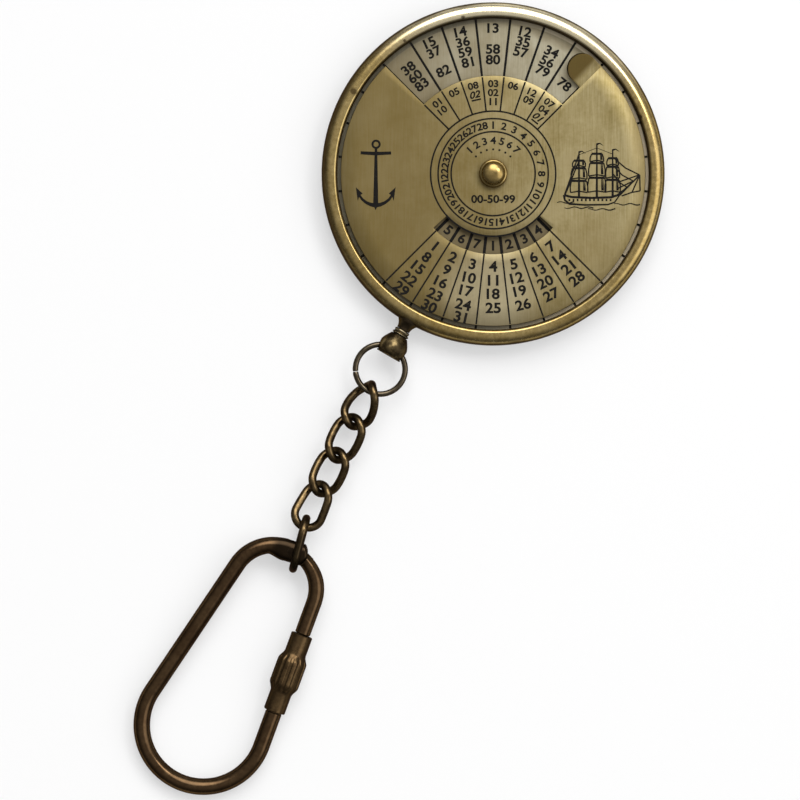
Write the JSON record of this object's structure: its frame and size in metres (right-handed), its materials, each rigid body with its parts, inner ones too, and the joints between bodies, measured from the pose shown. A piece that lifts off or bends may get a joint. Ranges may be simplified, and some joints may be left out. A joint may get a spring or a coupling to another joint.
{
  "type": "perpetual calendar keyring",
  "caption": "Antique brass keyring with a round perpetual calendar whose windowed dial is turned by a finger tab, a bell swivel, a curb chain and a screw-lock shackle.",
  "frame": {"origin": "centre of the case's flat back face, which lies on the table", "axes": "+Z out of the dial, -Y from the case towards the bell swivel and the chain, +X to the right when the dial is seen from above with the chain at the bottom"},
  "size_m": [0.05, 0.126, 0.0057],
  "materials": {
    "case_brass": "antique satin",
    "rim_brass": "antique polished",
    "plate_brass": "brushed, greyed",
    "dial_brass": "brushed, antique patina",
    "pivot_brass": "satin",
    "swivel_brass": "dark antique",
    "ring_brass": "dark antique",
    "chain_brass": "dark antique",
    "shackle_brass": "dark antique, polished",
    "pin_brass": "dark antique",
    "sleeve_brass": "dark antique, polished"
  },
  "bodies": {
    "case": {"case_back": "case_brass", "rim_ring": "rim_brass", "year_plate": "plate_brass", "thrust_washer": "pivot_brass", "spring_washer": "pivot_brass", "pivot_rivet": "pivot_brass", "pivot_knob": "pivot_brass", "rim_stud": "swivel_brass"},
    "dial": {"dial_plate": "dial_brass"},
    "bell": {"swivel_bell": "swivel_brass"},
    "ring": {"jump_ring": "ring_brass"},
    "link_1": {"chain_link_1": "chain_brass"},
    "link_2": {"chain_link_2": "chain_brass"},
    "link_3": {"chain_link_3": "chain_brass"},
    "link_4": {"chain_link_4": "chain_brass"},
    "end": {"end_link": "chain_brass"},
    "shackle": {"shackle_body": "shackle_brass", "hinge_pin": "pin_brass"},
    "gate": {"shackle_gate": "shackle_brass"},
    "sleeve": {"lock_sleeve": "sleeve_brass"}
  },
  "joints": [
    {"name": "dial_turn", "type": "hinge", "parent": "case", "child": "dial", "pos_m": [0, 0, 0.00282], "axis": [0, 0, 1], "continuous": true},
    {"name": "swivel_spin", "type": "hinge", "parent": "case", "child": "bell", "pos_m": [0, -0.0263, 0.00275], "axis": [0, -1, 0], "continuous": true},
    {"name": "ring_swing", "type": "hinge", "parent": "bell", "child": "ring", "pos_m": [0, -0.02961, 0.00275], "axis": [1, 0, 0], "range_deg": [-70, 70]},
    {"name": "link_1_swing", "type": "hinge", "parent": "ring", "child": "link_1", "pos_m": [0, -0.0365, 0.00275], "axis": [-1, 0, 0], "range_deg": [-60, 60]},
    {"name": "link_2_swing", "type": "hinge", "parent": "link_1", "child": "link_2", "pos_m": [0.00048, -0.0421, 0.00275], "axis": [0.7053, 0.0506, -0.7071], "range_deg": [-30, 30]},
    {"name": "link_3_swing", "type": "hinge", "parent": "link_2", "child": "link_3", "pos_m": [0.00087, -0.04753, 0.00275], "axis": [-0.7053, -0.0506, 0.7071], "range_deg": [-30, 30]},
    {"name": "link_4_swing", "type": "hinge", "parent": "link_3", "child": "link_4", "pos_m": [0.00126, -0.05295, 0.00275], "axis": [0.7053, 0.0506, -0.7071], "range_deg": [-30, 30]},
    {"name": "end_link_swing", "type": "hinge", "parent": "link_4", "child": "end", "pos_m": [0.00165, -0.05838, 0.00275], "axis": [-0.9823, -0.0704, 0.1736], "range_deg": [-30, 30]},
    {"name": "shackle_swing", "type": "hinge", "parent": "end", "child": "shackle", "pos_m": [0.00352, -0.06443, 0.00275], "axis": [0.0017, -0.0321, 0.9995], "range_deg": [-25, 25]},
    {"name": "gate_open", "type": "hinge", "parent": "shackle", "child": "gate", "pos_m": [0.00212, -0.06235, 0.00282], "axis": [0.0017, -0.0321, 0.9995], "range_deg": [0, 40]},
    {"name": "sleeve_slide", "type": "slide", "parent": "shackle", "child": "sleeve", "axis": [-0.1718, 0.9846, 0.032], "range_m": [0, 0.0035]}
  ]
}
